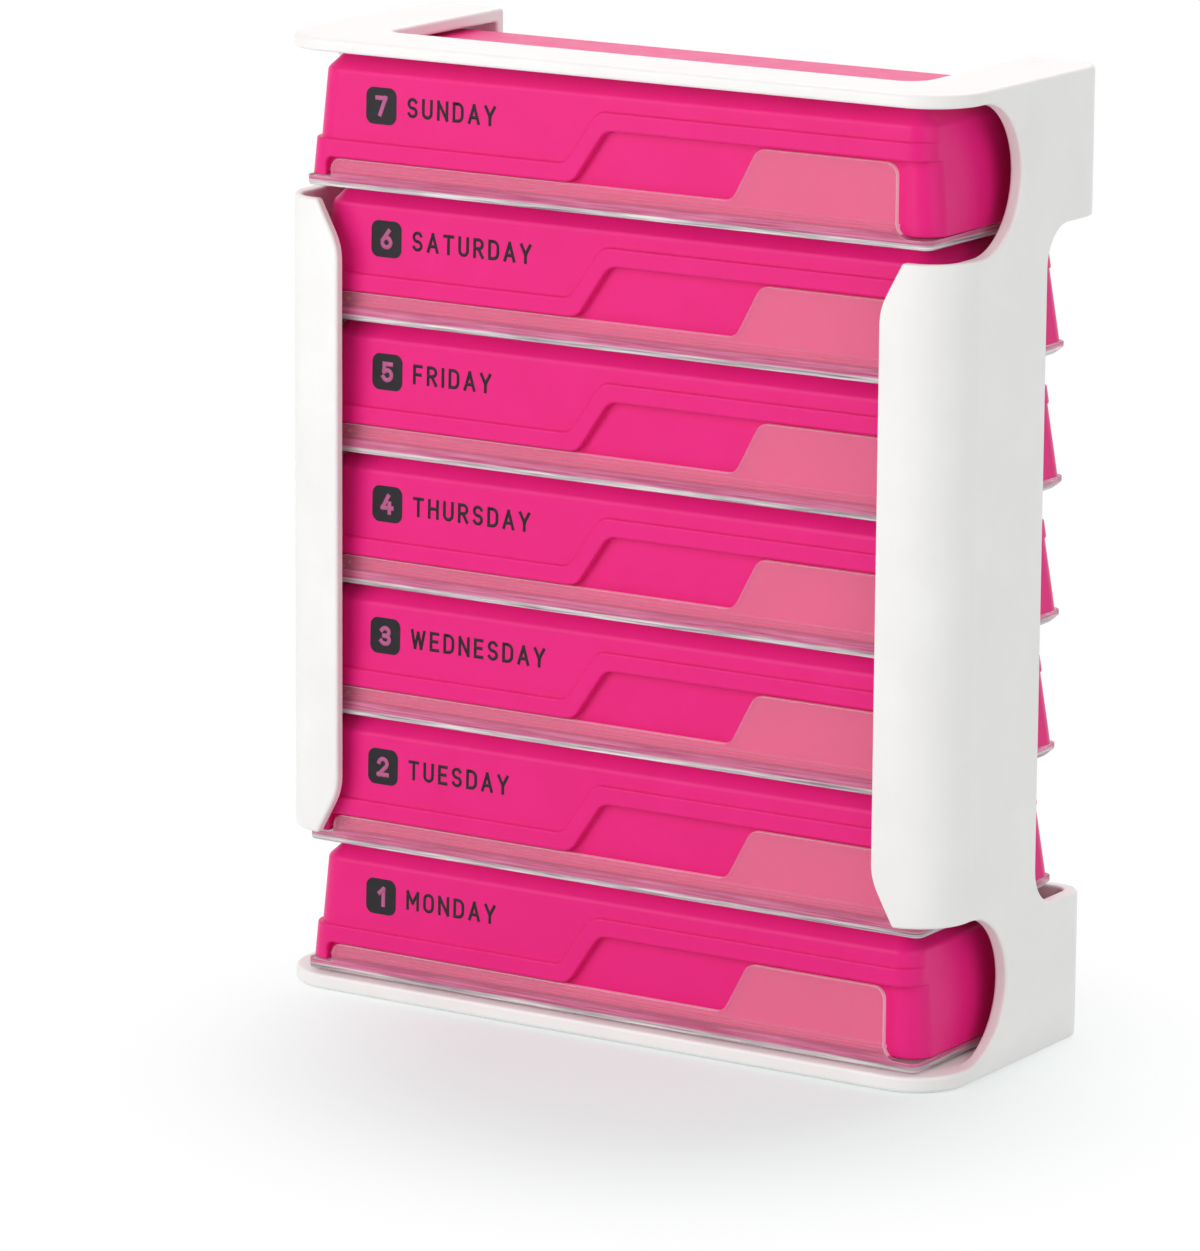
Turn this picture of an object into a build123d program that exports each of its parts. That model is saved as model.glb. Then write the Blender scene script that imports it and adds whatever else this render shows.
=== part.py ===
# Weekly pill dispenser: seven day boxes stacked in an open rack, all in millimetres
# X runs across the width, the front faces -Y, Z is up, and the origin is the middle of the foot
import os
from build123d import *

# rack
WIDTH = 136.0
DEPTH = 51.4
BASE = 2.8                # foot plate
TOP = 2.4                 # top plate
SIDE = 2.6                # side walls
FLANGE = 2.1              # front and back flanges
FRONT_RADIUS = 10.0       # upright corners, outside and inside
BACK_RADIUS = 4.5
INNER_FRONT_RADIUS = 5.0
INNER_BACK_RADIUS = 2.5
RIM = 0.9                 # rounding round the foot and the top
EDGE = 0.6                # rounding of every other edge of the rack
FLANGE_WIDTH = 13.6       # front flanges, from the side face to the free edge
SLOPE_WIDTH = 4.3         # their sloped ends
SLOPE_HEIGHT = 8.0
SLOPE_TIP = 2.5
SLOPE_ROUND = 10.0
ARM_WIDTH = 14.4          # arms beside the notch in the top plate, and back flanges
BAR_DEPTH = 13.4          # front bar of the top plate
NOTCH_RADIUS = 4.0
FINGER_RADIUS = 12.9      # finger cut-outs at the bottom and top box
FINGER_DEPTH = 23.8
WAIST_DEPTH = 33.2        # depth of the side walls at the boxes between
WAIST_LAP = 0.45
WAIST_RADIUS = 7.0

# room round the boxes
END_GAP = 2.5
FACE_GAP = 0.2
REST_GAP = 0.3
STACK_GAP = 0.25
TOP_GAP = 0.6

# day boxes, measured from the underside of the lid
BOX_HEIGHT = 23.2
PLATE = 1.75              # bottom plate of the lid
PLATE_INSET = 0.3
PLATE_SHORT = 0.7         # the plate ends this much short of the back of the box
PLATE_CORNER = 1.6
BEVEL_RUN = 5.0           # lead-in under the back edge of the plate
BEVEL_RISE = 1.0
SNOUT_RUN = 0.9           # slope under its left end
SNOUT_RISE = 1.2
LID_WALL = 1.0
LID_EDGE = 0.25           # rounding of the edges of the plate and the front wall
LID_PLAY = 0.15           # between lid and tray
STRIP_TOP = 5.0           # low front strip of the lid
STRIP_START = 1.1
STRIP_ROUND = 1.8
TAB_TOP = 14.2            # tab of the lid
TAB_PLAY = 0.3
TAB_S = 26.65             # middle of the S between strip and tab
TAB_S_RUN = 4.9
TAB_S_ROUND = 2.5
TAB_INSET = 6.8
TAB_ROUND = 2.2
TAB_FLARE = 2.6           # where the right edge of the tab runs out into the plate
BEAD_LOW = 3.3            # beads that hang on a ledge and in a groove of the tray
BEAD_HIGH = 3.9
BEAD_START = 2.0
BEAD_FRONT = 0.5
BEAD_BACK = 0.3
LEDGE_LOW = 2.5           # ledge of the tray under the front bead
LEDGE_SHORT = 1.0         # it ends this much short of the tab's edge
RAIL = 0.8                # back rail of the lid, in a slot of the back wall
RAIL_INSET = 2.1
RAIL_TOP = 4.6

# tray
CORNER = 4.2              # upright corners
TRAY_INSET = 0.1
END_DRAFT = 1.7
BACK_DRAFT = 2.8
FRONT_DRAFT = 0.5
CHAMFER = 2.85            # sloped edge round the top
CROWN_ROUND = 1.2
FOOT_LENGTH = 4.5         # full-height foot at the left end
FOOT_ROUND = 1.2
HEEL_RUN = 0.9            # slope under its outer end
HEEL_RISE = 1.2
BAND_RAISE = 0.6
BAND_WIDTH = 3.2
BAND_LEAN = 1.55
BAND_S = -4.5             # middle of the S in the raised band
BAND_S_RUN = 6.3
BAND_ROUND = 3.0
BAND_EDGE = 0.35          # rounding of its upper and lower edge

# compartments
COMPARTMENTS = 4
DIVIDER = 1.3
END_WALL = 2.6
FRONT_WALL = 1.75
RAIL_WALL = 1.15
ROOF = 1.8
CELL_DRAFT = 1.1
CELL_BACK_DRAFT = 2.6
CELL_RADIUS = 3.5

# each day from the bottom up, and how far its box stands back in the rack
DAYS = [("monday", 0.0), ("tuesday", 0.6), ("wednesday", 1.3), ("thursday", 1.9),
        ("friday", 1.9), ("saturday", 1.6), ("sunday", 0.0)]

# sizes that follow
PITCH = BOX_HEIGHT + STACK_GAP
BOX_LENGTH = WIDTH - 2 * (SIDE + END_GAP)
BOX_DEPTH = DEPTH - 2 * (FLANGE + FACE_GAP)
BAY_TOP = BASE + REST_GAP + len(DAYS) * PITCH - STACK_GAP + TOP_GAP
HEIGHT = BAY_TOP + TOP
FRONT = -BOX_DEPTH / 2
BACK = BOX_DEPTH / 2
LEFT = -BOX_LENGTH / 2
RIGHT = BOX_LENGTH / 2
SHOULDER = BOX_HEIGHT - CHAMFER
TRAY_FOOT = PLATE + LID_PLAY
SKIRT_LEFT = LEFT + FOOT_LENGTH
SEAT = FRONT + LID_WALL + BEAD_FRONT + LID_PLAY
RAIL_BACK = BACK - RAIL_INSET
RAIL_FRONT = RAIL_BACK - RAIL
STRIP_LINE = STRIP_TOP + LID_PLAY
TAB_LINE = TAB_TOP + TAB_PLAY
FAR = 2 * WIDTH


def rounded(x0, x1, y0, y1, front, back, z):
    """Rectangle with its own front and back corner radius, as a face at height z."""
    shape = Pos((x0 + x1) / 2, (y0 + y1) / 2) * Rectangle(x1 - x0, y1 - y0)
    shape = fillet(shape.vertices().sort_by(Axis.Y)[:2], front)
    shape = fillet(shape.vertices().sort_by(Axis.Y)[-2:], back)
    return Pos(0, 0, z) * shape


def slab(x0, x1, y0, y1, front, back, z0, z1):
    return extrude(rounded(x0, x1, y0, y1, front, back, z0), z1 - z0)


def bar(x0, x1, y0, y1, z0, z1):
    return Pos((x0 + x1) / 2, (y0 + y1) / 2, (z0 + z1) / 2) * Box(x1 - x0, y1 - y0, z1 - z0)


def outline(points, radii):
    """Face with straight sides and a rounding for each of its corners."""
    face = make_face(Polyline(*points, close=True))
    for point, radius in zip(points, radii):
        if radius:
            corner = face.vertices().sort_by_distance((point[0], point[1], 0))[0]
            face = fillet(corner, radius)
    return face


def through_y(points, radii, y0, y1):
    """Prism along Y from an XZ outline."""
    return extrude(Plane.XZ.offset(-y0) * outline(points, radii), -(y1 - y0))


def through_x(points, radii, x0, x1):
    """Prism along X from a YZ outline."""
    return extrude(Plane.YZ.offset(x0) * outline(points, radii), x1 - x0)


def finger_cut(low):
    """Opening across the front and both side walls at the bottom or top box."""
    centre = -DEPTH / 2 + FINGER_DEPTH - FINGER_RADIUS
    cut = bar(-FAR, FAR, -DEPTH, centre, low, low + 2 * FINGER_RADIUS)
    return cut + Pos(0, centre, low + FINGER_RADIUS) * Rot(0, 90, 0) * Cylinder(FINGER_RADIUS, 2 * FAR)


def window(low, high):
    """Front window between the flanges, wider at its ends."""
    edge = WIDTH / 2 - FLANGE_WIDTH
    wide = edge + SLOPE_WIDTH
    right = [(wide, low - SLOPE_TIP), (wide, low), (edge, low + SLOPE_HEIGHT), (edge, high - SLOPE_HEIGHT),
             (wide, high), (wide, high + SLOPE_TIP)]
    left = [(-x, z) for x, z in reversed(right)]
    radii = [0, SLOPE_TIP, SLOPE_ROUND, SLOPE_ROUND, SLOPE_TIP, 0]
    return through_y(right + left, radii * 2, -DEPTH, 0)


def make_rack():
    side, front, back = WIDTH / 2, -DEPTH / 2, DEPTH / 2
    body = slab(-side, side, front, back, FRONT_RADIUS, BACK_RADIUS, 0, HEIGHT)
    rims = body.edges().group_by(Axis.Z)
    body = fillet(rims[0] + rims[-1], RIM)
    body -= slab(SIDE - side, side - SIDE, front + FLANGE, back - FLANGE,
                 INNER_FRONT_RADIUS, INNER_BACK_RADIUS, BASE, BAY_TOP)
    # front
    top_cut = BAY_TOP - 2 * FINGER_RADIUS
    body -= window(BASE + 2 * FINGER_RADIUS, top_cut)
    body -= finger_cut(BASE)
    body -= finger_cut(top_cut)
    # back: open between the flanges, with the side walls stepped forward at the boxes between
    arm = side - ARM_WIDTH
    body -= bar(-arm, arm, 0, DEPTH, BASE, BAY_TOP)
    waist = front + WAIST_DEPTH
    low = BASE + REST_GAP + PITCH - WAIST_LAP
    high = BASE + REST_GAP + (len(DAYS) - 1) * PITCH + WAIST_LAP
    body -= through_x([(waist, low), (DEPTH, low), (DEPTH, high), (waist, high)],
                      [WAIST_RADIUS, 0, 0, WAIST_RADIUS], -FAR, FAR)
    # notch in the top plate, open to the back
    body -= slab(-arm, arm, front + BAR_DEPTH, DEPTH, NOTCH_RADIUS, NOTCH_RADIUS,
                 BAY_TOP - TOP, HEIGHT + TOP)
    return fillet(body.edges(), EDGE)


def tray_block(inset, front, top):
    """Drafted outside of the tray up to a height, its right end always at the same place."""
    x0, x1, y0, y1 = LEFT + inset, RIGHT - TRAY_INSET, front, BACK - inset
    rise = (top - TRAY_FOOT) / (SHOULDER - TRAY_FOOT)
    block = through_y([(x0, TRAY_FOOT), (x1, TRAY_FOOT), (x1 - rise * END_DRAFT, top),
                       (x0 + rise * END_DRAFT, top)], [0] * 4, -DEPTH, DEPTH)
    block &= through_x([(y0, TRAY_FOOT), (y1, TRAY_FOOT), (y1 - rise * BACK_DRAFT, top),
                        (y0 + rise * FRONT_DRAFT, top)], [0] * 4, -FAR, FAR)
    return fillet(block.edges().filter_by(Plane.XY, reverse=True), CORNER)


def band():
    """Raised band with its S, and the foot at the left end, right through the tray."""
    lean = BAND_LEAN
    s0, s1 = BAND_S - BAND_S_RUN / 2, BAND_S + BAND_S_RUN / 2
    points = [(-FAR, 0), (SKIRT_LEFT, 0), (SKIRT_LEFT, STRIP_LINE), (s0, STRIP_LINE),
              (s1, TAB_LINE), (FAR, TAB_LINE), (FAR, TAB_LINE + BAND_WIDTH),
              (s1 - lean, TAB_LINE + BAND_WIDTH), (s0 - lean, STRIP_LINE + BAND_WIDTH),
              (-FAR, STRIP_LINE + BAND_WIDTH)]
    s = BAND_ROUND
    return through_y(points, [0, 0, FOOT_ROUND, s, s, 0, 0, s, s, 0], -DEPTH, DEPTH)


def under_band():
    """Room under the band for the front wall of the lid, which ends round the right corner."""
    s0, s1 = BAND_S - BAND_S_RUN / 2, BAND_S + BAND_S_RUN / 2
    points = [(SKIRT_LEFT, 0), (FAR, 0), (FAR, TAB_LINE), (s1, TAB_LINE), (s0, STRIP_LINE),
              (SKIRT_LEFT, STRIP_LINE)]
    room = through_y(points, [0, 0, 0, BAND_ROUND, BAND_ROUND, FOOT_ROUND], -DEPTH, SEAT + CORNER)
    return room - tray_block(TRAY_INSET, SEAT, SHOULDER)


def compartment(x0, x1):
    front = SEAT + FRONT_WALL
    back = RAIL_FRONT - LID_PLAY - RAIL_WALL
    mouth = rounded(x0, x1, front, back, CELL_RADIUS, CELL_RADIUS, TRAY_FOOT)
    roof = rounded(x0 + CELL_DRAFT, x1 - CELL_DRAFT, front + CELL_DRAFT, back - CELL_BACK_DRAFT,
                   CELL_RADIUS, CELL_RADIUS, BOX_HEIGHT - ROOF)
    return loft([mouth, roof], ruled=True)


def wedge(end, run, rise, low=0):
    """Outline of what a slope takes off under the end of a piece whose underside is at low."""
    return [(end - run, low), (end, low + rise), (end + run, low + rise), (end + run, low - rise),
            (end - run, low - rise)]


def make_tray():
    inset = TRAY_INSET + BAND_RAISE
    body = tray_block(inset, FRONT + inset, BOX_HEIGHT)
    body = chamfer(body.edges().group_by(Axis.Z)[-1], CHAMFER)
    high = [e for e in body.edges() if e.center().Z > SHOULDER - CROWN_ROUND]
    body = fillet([e for e in high if e.bounding_box().size.Z < CROWN_ROUND], CROWN_ROUND)
    # band: its rounding starts at the S and runs on along both edges
    ring = tray_block(TRAY_INSET, FRONT + TRAY_INSET, SHOULDER) & band()
    slanted = [e for e in ring.edges()
               if e.bounding_box().size.X > BAND_ROUND and e.bounding_box().size.Z > BAND_ROUND]
    body += fillet(slanted, BAND_EDGE)
    body -= under_band()
    body -= through_y(wedge(LEFT + TRAY_INSET, -HEEL_RUN, HEEL_RISE, TRAY_FOOT), [0] * 5, -DEPTH, DEPTH)
    # ledge that carries the front bead of the lid
    low, high = BEAD_LOW - LID_PLAY, BEAD_HIGH + LID_PLAY
    body += bar(SKIRT_LEFT - STRIP_START, RIGHT - TAB_INSET - LEDGE_SHORT,
                SEAT - BEAD_FRONT, SEAT + BEAD_FRONT, LEDGE_LOW, low)
    # slot and groove for the back rail of the lid, open at the right end
    body -= bar(SKIRT_LEFT, FAR, RAIL_FRONT - LID_PLAY, RAIL_BACK + LID_PLAY, 0, RAIL_TOP + LID_PLAY)
    body -= bar(SKIRT_LEFT, FAR, RAIL_FRONT, RAIL_BACK + BEAD_BACK + LID_PLAY, low, high)
    # compartments, open downwards onto the lid
    ends = RIGHT - END_WALL
    cell = (2 * ends - (COMPARTMENTS - 1) * DIVIDER) / COMPARTMENTS
    for i in range(COMPARTMENTS):
        x0 = -ends + i * (cell + DIVIDER)
        body -= compartment(x0, x0 + cell)
    return body


def make_lid():
    front, back = FRONT, BACK - PLATE_SHORT
    body = slab(LEFT + PLATE_INSET, RIGHT - PLATE_INSET, front, back, PLATE_CORNER, PLATE_CORNER,
                0, PLATE)
    body = fillet(body.edges().filter_by(Plane.XY), LID_EDGE)
    # front wall: low strip, S and tab, with a bead inside
    left, right, low = SKIRT_LEFT + STRIP_START, RIGHT - TAB_INSET, PLATE / 2
    s0, s1 = TAB_S - TAB_S_RUN / 2, TAB_S + TAB_S_RUN / 2
    points = [(left, low), (left, STRIP_TOP), (s0, STRIP_TOP), (s1, TAB_TOP), (right, TAB_TOP),
              (right, PLATE), (right + 2 * TAB_FLARE, PLATE), (right + 2 * TAB_FLARE, low)]
    wall = through_y(points, [0, STRIP_ROUND, TAB_S_ROUND, TAB_S_ROUND, TAB_ROUND, TAB_FLARE, 0, 0],
                     front, front + LID_WALL)
    rim = [e for e in wall.edges().group_by(Axis.Y)[0] if e.center().Z > low]
    body += fillet(rim, LID_EDGE)
    inner = front + LID_WALL
    body += bar(left + BEAD_START, right, inner - LID_WALL / 2, inner + BEAD_FRONT, BEAD_LOW, BEAD_HIGH)
    # back rail with its bead
    body += bar(left, right, RAIL_FRONT, RAIL_BACK, low, RAIL_TOP)
    body += bar(left, right, RAIL_BACK - RAIL / 2, RAIL_BACK + BEAD_BACK, BEAD_LOW, BEAD_HIGH)
    # lead-in under the back edge and slope under the left end
    body -= through_x(wedge(back, BEVEL_RUN, BEVEL_RISE), [0] * 5, -FAR, FAR)
    return body - through_y(wedge(LEFT + PLATE_INSET, -SNOUT_RUN, SNOUT_RISE), [0] * 5, -FAR, FAR)


os.makedirs("parts", exist_ok=True)
export_step(make_rack(), "parts/rack.step")
tray, lid = make_tray(), make_lid()
for level, (day, set_back) in enumerate(DAYS):
    place = Pos(0, set_back, BASE + REST_GAP + level * PITCH)
    export_step(place * tray, f"parts/{day}_tray.step")
    export_step(place * lid, f"parts/{day}_lid.step")
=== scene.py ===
# Weekly pill dispenser: finishes, printing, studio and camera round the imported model
import math
import bpy
from mathutils import Matrix, Vector


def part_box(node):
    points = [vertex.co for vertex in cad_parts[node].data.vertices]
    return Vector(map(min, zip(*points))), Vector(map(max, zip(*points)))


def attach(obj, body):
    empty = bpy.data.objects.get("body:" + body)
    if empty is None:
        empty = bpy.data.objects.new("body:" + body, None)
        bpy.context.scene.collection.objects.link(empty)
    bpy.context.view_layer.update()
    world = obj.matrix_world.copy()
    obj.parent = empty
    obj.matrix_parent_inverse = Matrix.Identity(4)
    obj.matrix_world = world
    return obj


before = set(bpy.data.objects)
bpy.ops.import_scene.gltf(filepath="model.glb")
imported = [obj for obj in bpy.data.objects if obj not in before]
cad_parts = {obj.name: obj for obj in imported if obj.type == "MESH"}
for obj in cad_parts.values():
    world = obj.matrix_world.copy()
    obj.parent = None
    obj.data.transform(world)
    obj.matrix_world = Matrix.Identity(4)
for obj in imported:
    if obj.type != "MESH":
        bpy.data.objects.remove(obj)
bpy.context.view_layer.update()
scene = bpy.context.scene
MM = 0.001

# Days from the bottom box to the top one, named by their number
DAYS = ["monday", "tuesday", "wednesday", "thursday", "friday", "saturday", "sunday"]

# Front of a tray, whose face leans back as it rises from the foot
TRAY_FOOT = 1.9 * MM            # foot of the tray above the underside of the lid
BAND_RAISE = 0.6 * MM           # how far the band stands in front of the face
PLATE_INSET = 0.3 * MM          # end of the lid's plate from the end of the box
FACE_LEAN = 0.5 / 18.45         # how far the face goes back for each step up

# Printing on the front of a tray, from its left end and the underside of its lid
INK = 0.06 * MM                 # thickness of the ink, half of it in the surface
STROKE_STEP = 0.001 * MM        # each stroke of a sign above the one before
BADGE_CORNER_STEPS = 10
BADGE_SIZE = (6.3 * MM, 6.4 * MM)
BADGE_RADIUS = 1.5 * MM
BADGE_PLACE = (15.6 * MM, 14.8 * MM)
NUMBER_HEIGHT = 3.6 * MM
NUMBER_STROKE = 0.78 * MM
NAME_LEFT = 21.0 * MM
NAME_MIDDLE = 15.0 * MM
NAME_HEIGHT = 3.5 * MM
NAME_STROKE = 0.55 * MM
NAME_GAP = 0.9 * MM             # clear space between letters


def add(tree, kind, inputs=None, **settings):
    """Adds a node; inputs maps a socket's name or place to a value or to another node's output."""
    made = tree.nodes.new(kind)
    for name, value in settings.items():
        setattr(made, name, value)
    for name, value in (inputs or {}).items():
        if isinstance(value, bpy.types.NodeSocket):
            tree.links.new(value, made.inputs[name])
        else:
            made.inputs[name].default_value = value
    return made


def linear(code):
    """Linear colour of an sRGB hex code."""
    parts = [int(code[i:i + 2], 16) / 255 for i in (1, 3, 5)]
    return tuple(c / 12.92 if c <= 0.04045 else ((c + 0.055) / 1.055) ** 2.4 for c in parts) + (1.0,)


# Materials

# Heights on a lid are above its own underside
FIRST_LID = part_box("monday_lid")[0].z
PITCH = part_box("tuesday_lid")[0].z - FIRST_LID      # from each box to the one above
LID_MARGIN = 0.5 * MM           # keeps the underside itself with its own lid
PLATE_TOP = 2.3 * MM            # top of the lid's plate and of the root of its strip
PALE_TOP = (0.8 * MM, 1.1 * MM)     # where the painted pale streaks of light turn into the painted rosy ones
RIM_STEP = 0.1 * MM             # height in which the painted rosy streaks turn into the painted highlight of the rim
FACING = 0.6                    # a face looks along an axis where its normal has more than this of it
PAINTED_LIGHT_STREAKS = (14 * MM, 14 * MM, 0.35 * MM)     # size of the painted streaks of light in the edge of the plate

STRAIGHT_THROUGH = 0.5          # share of the light that crosses clear plastic without bending
EDGE_THROUGH = 0.15             # the same at the edges of the lids
HAZE = 0.3                      # share of the rest that is scattered, in the colour of the tray behind: painted light from the tray

USUAL_NOISE = (0.3, 0.7)        # range that nearly all values of the noise lie in
EDGE_SOFTNESS = 0.35 * MM       # rounding that the light shows along the trays' edges
GRAIN_DEPTH = 0.05 * MM         # height of the grain in the skin of the plastics


def new_material(name):
    material = bpy.data.materials.new(name)
    material.use_nodes = True
    material.node_tree.nodes.clear()
    return material, material.node_tree


def noise(tree, size, seed=0.0, detail=2.0, roughness=0.5):
    """Noise on the piece's own coordinates; size is that of its grains in metres, or one for each axis."""
    sizes = size if isinstance(size, tuple) else (size,) * 3
    place = add(tree, "ShaderNodeTexCoord").outputs["Object"]
    drawn = add(tree, "ShaderNodeMapping", {
        "Vector": place, "Location": [seed / s for s in sizes], "Scale": [1 / s for s in sizes]})
    return add(tree, "ShaderNodeTexNoise", {
        "Vector": drawn.outputs[0], "Scale": 1.0, "Detail": detail, "Roughness": roughness}).outputs["Fac"]


def varied(tree, low, high, size, **kind):
    """Value that wanders between low and high with noise."""
    return add(tree, "ShaderNodeMapRange", {
        "Value": noise(tree, size, **kind), "From Min": USUAL_NOISE[0], "From Max": USUAL_NOISE[1],
        "To Min": low, "To Max": high}).outputs["Result"]


def mottled(tree, dark, light, size, **kind):
    """Colour that wanders between two sRGB codes with noise."""
    return add(tree, "ShaderNodeMix", {
        0: varied(tree, 0.0, 1.0, size, **kind), 6: linear(dark), 7: linear(light)},
        data_type="RGBA").outputs[2]


def moulded_white_abs():
    """ABS moulded in a fine-blasted tool: warm white, a broad soft sheen and no sharp mirror image."""
    material, tree = new_material("moulded_white_abs")
    # blasted grain, a few tenths of a millimetre on the real one, drawn at 0.7 mm to show
    bump = add(tree, "ShaderNodeBump", {
        "Height": noise(tree, 0.7 * MM), "Strength": 0.05, "Distance": GRAIN_DEPTH})
    shader = add(tree, "ShaderNodeBsdfPrincipled", {
        "Base Color": mottled(tree, "#F3EEED", "#F7F3F2", 14 * MM, seed=0.2),
        "Roughness": varied(tree, 0.36, 0.42, 3 * MM, seed=0.5), "IOR": 1.52, "Normal": bump.outputs[0]})
    add(tree, "ShaderNodeOutputMaterial", {"Surface": shader.outputs[0]})
    return material


def moulded_magenta_polypropylene():
    """Polypropylene dyed through and moulded glossy: deep magenta, slightly waxy, with rounded edges."""
    material, tree = new_material("moulded_magenta_polypropylene")
    edges = add(tree, "ShaderNodeBevel", {"Radius": EDGE_SOFTNESS}, samples=4)
    # slight unevenness of the skin where the plastic has shrunk
    bump = add(tree, "ShaderNodeBump", {
        "Height": noise(tree, 1.1 * MM), "Strength": 0.03, "Distance": GRAIN_DEPTH,
        "Normal": edges.outputs[0]})
    shader = add(tree, "ShaderNodeBsdfPrincipled", {
        "Base Color": mottled(tree, "#E9217D", "#EC2381", 9 * MM, seed=0.4),
        "Roughness": varied(tree, 0.30, 0.36, 4 * MM, seed=0.9), "IOR": 1.49, "Specular IOR Level": 0.16,
        "Normal": bump.outputs[0]})
    add(tree, "ShaderNodeOutputMaterial", {"Surface": shader.outputs[0]})
    return material


def above_lid(tree):
    """Height of a point above the underside of the lid of its own box."""
    place = add(tree, "ShaderNodeTexCoord").outputs["Object"]
    height = add(tree, "ShaderNodeSeparateXYZ", {0: place}).outputs["Z"]
    above = add(tree, "ShaderNodeMath", {0: height, 1: FIRST_LID - LID_MARGIN}, operation="SUBTRACT")
    own = add(tree, "ShaderNodeMath", {0: above.outputs[0], 1: PITCH}, operation="MODULO")
    return add(tree, "ShaderNodeMath", {0: own.outputs[0], 1: LID_MARGIN}, operation="SUBTRACT").outputs[0]


def on_edge(tree, height):
    """1 on the upright edges of the lid's plate and on the rim of its tab, strip and rail, where the painted
    edge light goes, 0 elsewhere.
    """
    normal = add(tree, "ShaderNodeNewGeometry").outputs["True Normal"]
    facing = add(tree, "ShaderNodeSeparateXYZ", {0: normal})
    upright, sideways = (
        add(tree, "ShaderNodeMath", {
            0: add(tree, "ShaderNodeMath", {0: facing.outputs[axis]}, operation="ABSOLUTE").outputs[0],
            1: FACING}, operation="LESS_THAN").outputs[0]
        for axis in ("Z", "Y"))
    low = add(tree, "ShaderNodeMath", {0: height, 1: PLATE_TOP}, operation="LESS_THAN").outputs[0]
    return add(tree, "ShaderNodeMix", {0: low, 2: sideways, 3: upright}).outputs[0]


def edge_glow(tree, height):
    """Painted light at a lid's edges, as the colour of a rough plastic: pale streaks with dark flecks, the
    colour of the tray above them as painted light through the plate, and a pale rim as a painted highlight.
    """
    pale, rosy = (mottled(tree, *codes, PAINTED_LIGHT_STREAKS, detail=3.0, roughness=0.6)
                  for codes in (("#85777F", "#FAF3F5"), ("#BC3F70", "#EA84AC")))
    upper = add(tree, "ShaderNodeMapRange", {
        "Value": height, "From Min": PALE_TOP[0], "From Max": PALE_TOP[1]},
        interpolation_type="SMOOTHSTEP").outputs["Result"]
    plate = add(tree, "ShaderNodeMix", {0: upper, 6: pale, 7: rosy}, data_type="RGBA").outputs[2]
    rim = add(tree, "ShaderNodeMapRange", {
        "Value": height, "From Min": PLATE_TOP, "From Max": PLATE_TOP + RIM_STEP}).outputs["Result"]
    colour = add(tree, "ShaderNodeMix", {0: rim, 6: plate, 7: linear("#F8CBDA")}, data_type="RGBA").outputs[2]
    return add(tree, "ShaderNodeBsdfPrincipled", {
        "Base Color": colour, "Roughness": 0.12, "IOR": 1.57}).outputs[0]


def moulded_clear_polystyrene():
    """Clear polystyrene from a polished tool: sharp reflections, a faint haze with the tray's pink painted
    into it, and painted light at its edges.
    """
    material, tree = new_material("moulded_clear_polystyrene")
    height = above_lid(tree)
    edge = on_edge(tree, height)
    glassy = add(tree, "ShaderNodeBsdfPrincipled", {
        "Base Color": mottled(tree, "#F7DEE7", "#FBE8EE", 25 * MM, seed=0.3),
        "Roughness": 0.01, "IOR": 1.57, "Transmission Weight": 1.0})
    # the pink of this scatter is painted light from the magenta tray behind the lid
    haze = add(tree, "ShaderNodeBsdfDiffuse", {"Color": linear("#F5B3CC")})
    hazy = add(tree, "ShaderNodeMixShader", {0: HAZE, 1: glassy.outputs[0], 2: haze.outputs[0]})
    # on the edges the lid shows painted light in place of its glass and haze
    solid = add(tree, "ShaderNodeMixShader", {0: edge, 1: hazy.outputs[0], 2: edge_glow(tree, height)})
    # thin walls also let light straight through, and all of it where a shadow is cast
    open_way = add(tree, "ShaderNodeBsdfTransparent", {"Color": linear("#F4EFF1")})
    straight = add(tree, "ShaderNodeMapRange", {
        "Value": edge, "To Min": STRAIGHT_THROUGH, "To Max": EDGE_THROUGH}).outputs["Result"]
    shadow_ray = add(tree, "ShaderNodeLightPath").outputs["Is Shadow Ray"]
    share = add(tree, "ShaderNodeMath", {0: shadow_ray, 1: straight}, operation="MAXIMUM").outputs[0]
    shader = add(tree, "ShaderNodeMixShader", {0: share, 1: solid.outputs[0], 2: open_way.outputs[0]})
    add(tree, "ShaderNodeOutputMaterial", {"Surface": shader.outputs[0]})
    return material


def pad_printed_ink(name, dark, light):
    """Pad-printed ink: a thin even film, duller than the plastic, with slight clouds in its colour."""
    material, tree = new_material(name)
    shader = add(tree, "ShaderNodeBsdfPrincipled", {
        "Base Color": mottled(tree, dark, light, 1.5 * MM),
        "Roughness": varied(tree, 0.42, 0.55, 0.8 * MM, seed=0.7), "IOR": 1.48, "Specular IOR Level": 0.25})
    add(tree, "ShaderNodeOutputMaterial", {"Surface": shader.outputs[0]})
    return material


white = moulded_white_abs()
magenta = moulded_magenta_polypropylene()
clear = moulded_clear_polystyrene()
black_ink = pad_printed_ink("black_pad_printed_ink", "#1A171B", "#201C21")
rose_ink = pad_printed_ink("rose_pad_printed_ink", "#B65A88", "#BC608E")


def dress(node, material):
    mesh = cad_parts[node].data
    mesh.materials.clear()
    mesh.materials.append(material)


dress("rack", white)
for day in DAYS:
    dress(day + "_tray", magenta)
    dress(day + "_lid", clear)


# Letters and numbers, as the middle lines of their strokes in a box one unit high

def arc(x, y, rx, ry, start, end, steps=9):
    turns = [math.radians(start + (end - start) * i / steps) for i in range(steps + 1)]
    return [(x + rx * math.cos(a), y + ry * math.sin(a)) for a in turns]


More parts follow.
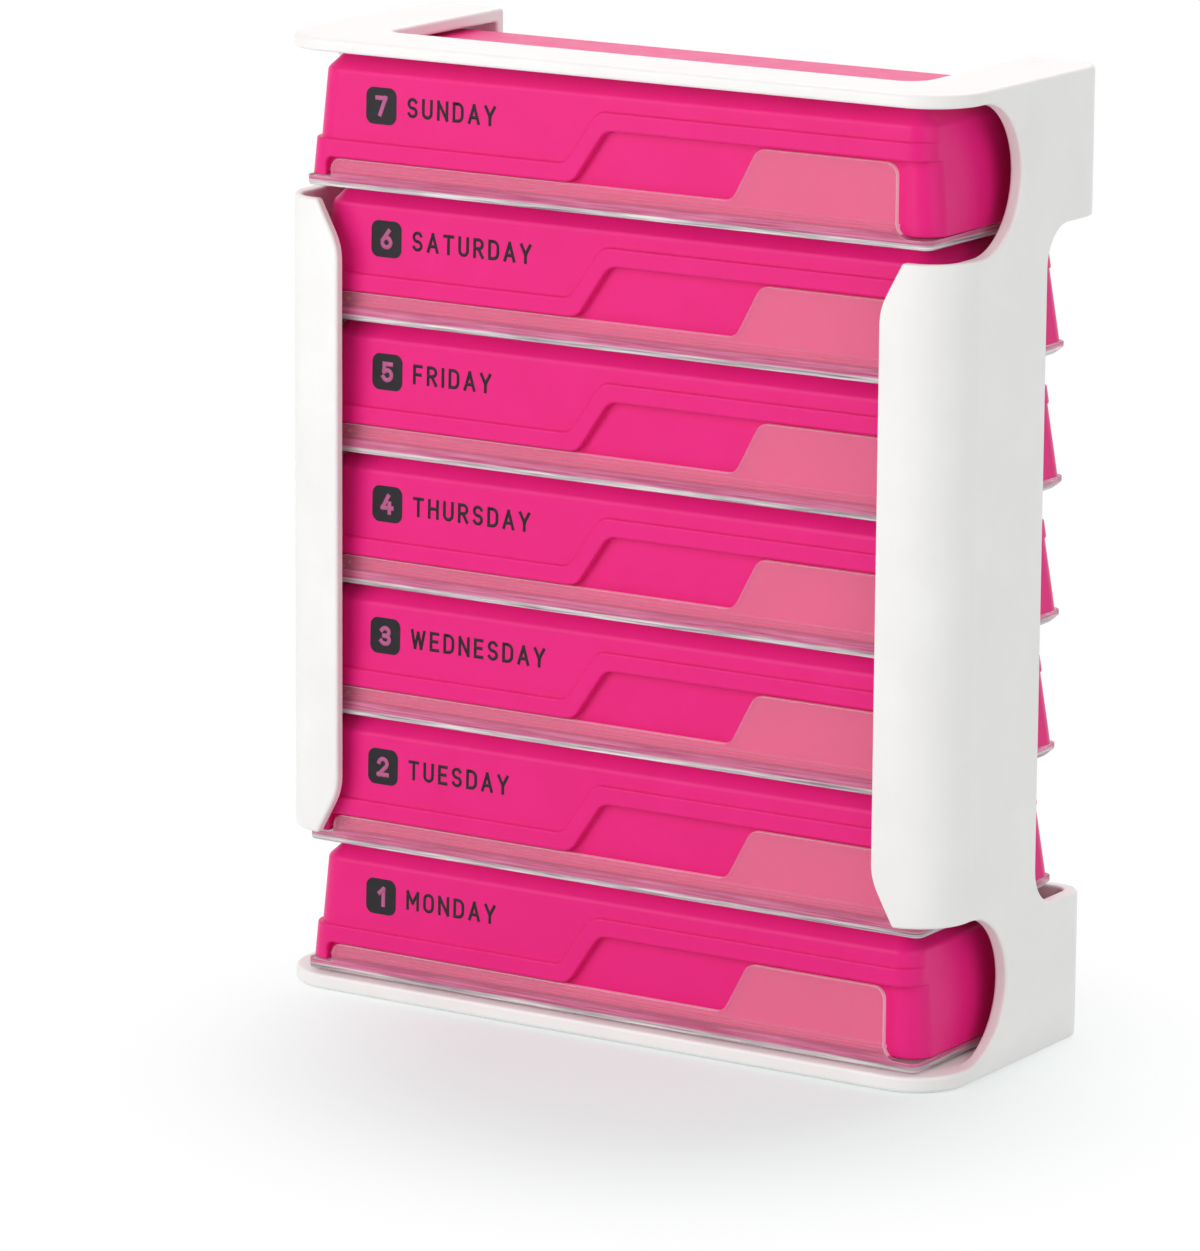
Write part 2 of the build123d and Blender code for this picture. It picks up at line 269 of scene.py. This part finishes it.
LETTERS = {
    "A": [[(0, 0), (0.32, 1)], [(0.32, 1), (0.64, 0)], [(0.12, 0.3), (0.52, 0.3)]],
    "D": [[(0, 0), (0, 1)], [(0, 1), (0.26, 1), *arc(0.26, 0.68, 0.32, 0.32, 90, 0),
                             *arc(0.26, 0.32, 0.32, 0.32, 0, -90), (0, 0)]],
    "E": [[(0, 0), (0, 1)], [(0, 1), (0.48, 1)], [(0, 0.52), (0.42, 0.52)], [(0, 0), (0.48, 0)]],
    "F": [[(0, 0), (0, 1)], [(0, 1), (0.48, 1)], [(0, 0.5), (0.42, 0.5)]],
    "H": [[(0, 0), (0, 1)], [(0.58, 0), (0.58, 1)], [(0, 0.52), (0.58, 0.52)]],
    "I": [[(0, 0), (0, 1)]],
    "M": [[(0, 0), (0, 1)], [(0, 1), (0.36, 0.36)], [(0.36, 0.36), (0.72, 1)], [(0.72, 0), (0.72, 1)]],
    "N": [[(0, 0), (0, 1)], [(0, 1), (0.6, 0)], [(0.6, 0), (0.6, 1)]],
    "O": [[(0, 0.5), *arc(0.29, 0.71, 0.29, 0.29, 180, 0), *arc(0.29, 0.29, 0.29, 0.29, 0, -180), (0, 0.5)]],
    "R": [[(0, 0), (0, 1)], [(0, 1), *arc(0.28, 0.74, 0.26, 0.26, 90, -90), (0, 0.48)],
          [(0.26, 0.48), (0.55, 0)]],
    "S": [[*arc(0.27, 0.745, 0.26, 0.255, 25, 270, 14), *arc(0.27, 0.245, 0.27, 0.245, 90, -155, 14)]],
    "T": [[(0, 1), (0.58, 1)], [(0.29, 0), (0.29, 1)]],
    "U": [[(0, 1), *arc(0.28, 0.28, 0.28, 0.28, 180, 360, 14), (0.56, 1)]],
    "W": [[(0, 1), (0.21, 0)], [(0.21, 0), (0.43, 0.9)], [(0.43, 0.9), (0.65, 0)], [(0.65, 0), (0.86, 1)]],
    "Y": [[(0, 1), (0.3, 0.44)], [(0.6, 1), (0.3, 0.44)], [(0.3, 0), (0.3, 0.44)]],
    "1": [[(0.36, 0), (0.36, 1)], [(0.08, 0.74), (0.36, 1)]],
    "2": [[*arc(0.32, 0.7, 0.3, 0.3, 165, -32, 12), (0.02, 0)], [(0, 0), (0.64, 0)]],
    "3": [[*arc(0.3, 0.75, 0.28, 0.25, 155, -90, 12)], [*arc(0.3, 0.255, 0.32, 0.255, 90, -155, 12)],
          [(0.22, 0.505), (0.32, 0.505)]],
    "4": [[(0.4, 1), (0, 0.27)], [(0, 0.27), (0.68, 0.27)], [(0.5, 0), (0.5, 0.56)]],
    "5": [[(0.08, 1), (0.58, 1)], [(0.08, 1), (0.07, 0.53)], [*arc(0.3, 0.31, 0.32, 0.31, 135, -155, 14)]],
    "6": [[(0.48, 1), (0.05, 0.44)], [*arc(0.32, 0.3, 0.31, 0.3, 180, -180, 20)]],
    "7": [[(0, 1), (0.62, 1)], [(0.62, 1), (0.24, 0)]],
}


def squared(points, reach):
    """Stroke with its two ends drawn out by reach, so that corners close."""
    first, last = Vector(points[0]), Vector(points[-1])
    if (last - first).length < 1e-6:
        return points
    out = [first + (first - Vector(points[1])).normalized() * reach, *points[1:-1],
           last + (last - Vector(points[-2])).normalized() * reach]
    return [tuple(p) for p in out]


def width_of(sign):
    return max(x for stroke in LETTERS[sign] for x, y in stroke)


def written(word, height, stroke, gap):
    """Strokes of a word in metres, from its left edge and its middle height, and its width."""
    strokes, left = [], stroke / 2
    tall = height - stroke
    for sign in word:
        for points in LETTERS[sign]:
            placed = [(left + x * tall, (y - 0.5) * tall) for x, y in points]
            strokes.append(squared(placed, stroke / 2))
        left += width_of(sign) * tall + stroke + gap
    return strokes, left - gap - stroke / 2


def stroke_curve(name, strokes):
    """Each stroke lies a little above the one before, so that no two faces coincide where they cross."""
    curve = bpy.data.curves.new(name, "CURVE")
    curve.dimensions = "3D"
    for layer, points in enumerate(strokes):
        spline = curve.splines.new("POLY")
        spline.points.add(len(points) - 1)
        for point, (x, y) in zip(spline.points, points):
            point.co = (x, y, layer * STROKE_STEP, 1)
    return curve


def print_tree(name, badge):
    """Tree that gives strokes, or a rounded badge, the thickness of ink."""
    tree = bpy.data.node_groups.new(name, "GeometryNodeTree")
    face = tree.interface
    face.new_socket("Geometry", in_out="INPUT", socket_type="NodeSocketGeometry")
    for socket in ("Width", "Height", "Corner radius", "Ink thickness"):
        face.new_socket(socket, in_out="INPUT", socket_type="NodeSocketFloat")
    face.new_socket("Ink", in_out="INPUT", socket_type="NodeSocketMaterial")
    face.new_socket("Geometry", in_out="OUTPUT", socket_type="NodeSocketGeometry")
    given = tree.nodes.new("NodeGroupInput").outputs
    if badge:
        outline = add(tree, "GeometryNodeCurvePrimitiveQuadrilateral",
                      {"Width": given["Width"], "Height": given["Height"]})
        profile = add(tree, "GeometryNodeFilletCurve", {
            "Curve": outline.outputs[0], "Radius": given["Corner radius"],
            "Count": BADGE_CORNER_STEPS}, mode="POLY").outputs[0]
        foot, top = (
            add(tree, "ShaderNodeCombineXYZ", {"Z": add(tree, "ShaderNodeMath", {
                0: given["Ink thickness"], 1: share}, operation="MULTIPLY").outputs[0]}).outputs[0]
            for share in (-0.5, 0.5))
        path = add(tree, "GeometryNodeCurvePrimitiveLine", {"Start": foot, "End": top}).outputs[0]
    else:
        profile = add(tree, "GeometryNodeCurvePrimitiveQuadrilateral",
                      {"Width": given["Width"], "Height": given["Ink thickness"]}).outputs[0]
        path = add(tree, "GeometryNodeSetCurveNormal", {"Curve": given["Geometry"]}, mode="Z_UP").outputs[0]
    mesh = add(tree, "GeometryNodeCurveToMesh", {"Curve": path, "Profile Curve": profile, "Fill Caps": True})
    real = add(tree, "GeometryNodeRealizeInstances", {"Geometry": mesh.outputs[0]})
    inked = add(tree, "GeometryNodeSetMaterial", {"Geometry": real.outputs[0], "Material": given["Ink"]})
    add(tree, "NodeGroupOutput", {"Geometry": inked.outputs[0]})
    return tree


def printed(name, tree, curve, sizes, material):
    """Runs a tree on a curve and returns its result as a plain mesh object."""
    source = bpy.data.objects.new(name + "_strokes", curve)
    scene.collection.objects.link(source)
    modifier = source.modifiers.new("print", "NODES")
    modifier.node_group = tree
    for item in tree.interface.items_tree:
        if item.in_out == "INPUT" and item.name in sizes:
            modifier[item.identifier] = sizes[item.name]
        elif item.in_out == "INPUT" and item.name == "Ink":
            modifier[item.identifier] = material
    depsgraph = bpy.context.evaluated_depsgraph_get()
    mesh = bpy.data.meshes.new_from_object(source.evaluated_get(depsgraph))
    bpy.data.objects.remove(source)
    mesh.name = name
    if not mesh.materials:
        mesh.materials.append(material)
    made = bpy.data.objects.new(name, mesh)
    scene.collection.objects.link(made)
    return made


def lay_on_tray(piece, day, left, middle, lift=0.0):
    """Moves a flat print from its own plane onto the leaning front face of a tray; it rides on that box."""
    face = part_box(day + "_tray")[0].y + BAND_RAISE
    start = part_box(day + "_lid")[0]
    for vertex in piece.data.vertices:
        x, y, depth = vertex.co
        rise = middle + y
        vertex.co = (start.x - PLATE_INSET + left + x, face + FACE_LEAN * (rise - TRAY_FOOT) - lift - depth,
                     start.z + rise)
    piece.data.flip_normals()
    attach(piece, day + "_box")


stroke_tree = print_tree("printed_strokes", badge=False)
badge_tree = print_tree("printed_badge", badge=True)

for number, day in enumerate(DAYS, 1):
    strokes, _ = written(day.upper(), NAME_HEIGHT, NAME_STROKE, NAME_GAP)
    name = printed(day + "_name", stroke_tree, stroke_curve(day + "_name", strokes),
                   {"Width": NAME_STROKE, "Ink thickness": INK}, black_ink)
    lay_on_tray(name, day, NAME_LEFT, NAME_MIDDLE)
    badge = printed(day + "_badge", badge_tree, stroke_curve(day + "_badge", []),
                    {"Width": BADGE_SIZE[0], "Height": BADGE_SIZE[1], "Corner radius": BADGE_RADIUS,
                     "Ink thickness": INK}, black_ink)
    lay_on_tray(badge, day, *BADGE_PLACE)
    strokes, width = written(str(number), NUMBER_HEIGHT, NUMBER_STROKE, 0.0)
    digit = printed(day + "_number", stroke_tree, stroke_curve(day + "_number", strokes),
                    {"Width": NUMBER_STROKE, "Ink thickness": INK}, rose_ink)
    lay_on_tray(digit, day, BADGE_PLACE[0] - width / 2, BADGE_PLACE[1], lift=INK / 2)


# Studio: pale floor, white background and soft lamps

FLOOR_REACH = 1.5               # half the side of the floor
FLOOR_DROP = 0.05 * MM          # keeps the floor clear of the foot's own face
SHADOW_MIDDLE = (0.02, -0.03)   # middle of the oval in which the floor keeps its shadow
SHADOW_TURN = 32.5              # the oval's first axis, in degrees from the width of the rack
SHADOW_REACH = (0.105, 0.115)   # half the oval's two axes
SHADOW_CORE = 0.3               # share of the oval that is all floor
SHADOW_LIFT = 0.42              # white mixed into the floor's own shading there
WORLD_LIGHT = 0.43              # strength of the white light from all round
LAMP_AIM = (0, 0, 0.085)        # middle of the object
# name, azimuth and elevation in degrees, distance and side in metres, power in watts
SOFT_BOXES = [
    ("key", -22, 22, 0.9, 0.7, 4.2),
    ("fill", 78, 20, 1.1, 0.9, 2.6),
    ("rear", 195, 55, 0.9, 0.8, 4.0),
]


def plain_white(tree, shown):
    """Share of plain white: shown for the camera, all of it for mirrors and clear plastic, none for light."""
    path = add(tree, "ShaderNodeLightPath").outputs
    share = add(tree, "ShaderNodeMath", {0: shown, 1: path["Is Camera Ray"]}, operation="MULTIPLY").outputs[0]
    for ray in ("Is Glossy Ray", "Is Transmission Ray"):
        share = add(tree, "ShaderNodeMath", {0: share, 1: path[ray]}, operation="MAXIMUM").outputs[0]
    return share


def pale_floor():
    """Matt painted floor that keeps the soft shadow and fades to plain white away from the object."""
    material, tree = new_material("matt_white_floor")
    place = add(tree, "ShaderNodeTexCoord").outputs["Object"]
    oval = add(tree, "ShaderNodeMapping", {
        "Vector": place, "Location": (*SHADOW_MIDDLE, 0), "Rotation": (0, 0, math.radians(SHADOW_TURN)),
        "Scale": (*SHADOW_REACH, 1)}, vector_type="TEXTURE")
    away = add(tree, "ShaderNodeVectorMath", {0: oval.outputs[0]}, operation="LENGTH").outputs["Value"]
    fade = add(tree, "ShaderNodeMapRange", {
        "Value": away, "From Min": SHADOW_CORE, "From Max": 1.0, "To Min": SHADOW_LIFT, "To Max": 1.0},
        interpolation_type="SMOOTHSTEP").outputs["Result"]
    paint = add(tree, "ShaderNodeBsdfDiffuse", {"Color": linear("#E8F4F2")})
    plain = add(tree, "ShaderNodeEmission", {"Color": (1, 1, 1, 1), "Strength": 1.0})
    shader = add(tree, "ShaderNodeMixShader", {
        0: plain_white(tree, fade), 1: paint.outputs[0], 2: plain.outputs[0]})
    add(tree, "ShaderNodeOutputMaterial", {"Surface": shader.outputs[0]})
    return material


def make_floor():
    mesh = bpy.data.meshes.new("floor")
    r = FLOOR_REACH
    mesh.from_pydata([(-r, -r, 0), (r, -r, 0), (r, r, 0), (-r, r, 0)], [], [(0, 1, 2, 3)])
    mesh.materials.append(pale_floor())
    floor = bpy.data.objects.new("floor", mesh)
    floor.location = (0, 0, -FLOOR_DROP)
    scene.collection.objects.link(floor)


def make_world():
    world = bpy.data.worlds.new("studio")
    scene.world = world
    world.use_nodes = True
    tree = world.node_tree
    tree.nodes.clear()
    light = add(tree, "ShaderNodeBackground", {"Color": (1, 1, 1, 1), "Strength": WORLD_LIGHT})
    plain = add(tree, "ShaderNodeBackground", {"Color": (1, 1, 1, 1), "Strength": 1.0})
    mixed = add(tree, "ShaderNodeMixShader", {
        0: plain_white(tree, 1.0), 1: light.outputs[0], 2: plain.outputs[0]})
    add(tree, "ShaderNodeOutputWorld", {"Surface": mixed.outputs[0]})


def soft_box(name, azimuth, elevation, distance, size, power):
    """Square soft box that looks at the middle of the object, placed as the camera's angles are given."""
    lamp = bpy.data.lights.new(name, "AREA")
    lamp.shape = "SQUARE"
    lamp.size = size
    lamp.energy = power
    made = bpy.data.objects.new(name, lamp)
    made.matrix_world = (Matrix.Translation(LAMP_AIM)
                         @ Matrix.Rotation(math.radians(azimuth), 4, "Z")
                         @ Matrix.Rotation(math.radians(90 - elevation), 4, "X")
                         @ Matrix.Translation((0, 0, distance)))
    scene.collection.objects.link(made)


make_floor()
make_world()
for lamp_values in SOFT_BOXES:
    soft_box(*lamp_values)

# Camera, fitted to the edges of the rack in the photograph; angles in degrees, lens in millimetres
CAMERA_PLACE = (0.65405, -1.05090, 0.34220)
CAMERA_AZIMUTH = 32.526
CAMERA_ELEVATION = 12.463
CAMERA_ROLL = 0.407
FOCAL_LENGTH = 209.49

camera_data = bpy.data.cameras.new("camera")
camera_data.lens = FOCAL_LENGTH
camera_data.sensor_width = 36
camera_data.clip_start = 0.05
camera_data.clip_end = 20
camera = bpy.data.objects.new("camera", camera_data)
camera.matrix_world = (Matrix.Translation(CAMERA_PLACE)
                       @ Matrix.Rotation(math.radians(CAMERA_AZIMUTH), 4, "Z")
                       @ Matrix.Rotation(math.radians(90 - CAMERA_ELEVATION), 4, "X")
                       @ Matrix.Rotation(math.radians(CAMERA_ROLL), 4, "Z"))
scene.collection.objects.link(camera)
scene.camera = camera
scene.view_settings.view_transform = "Standard"
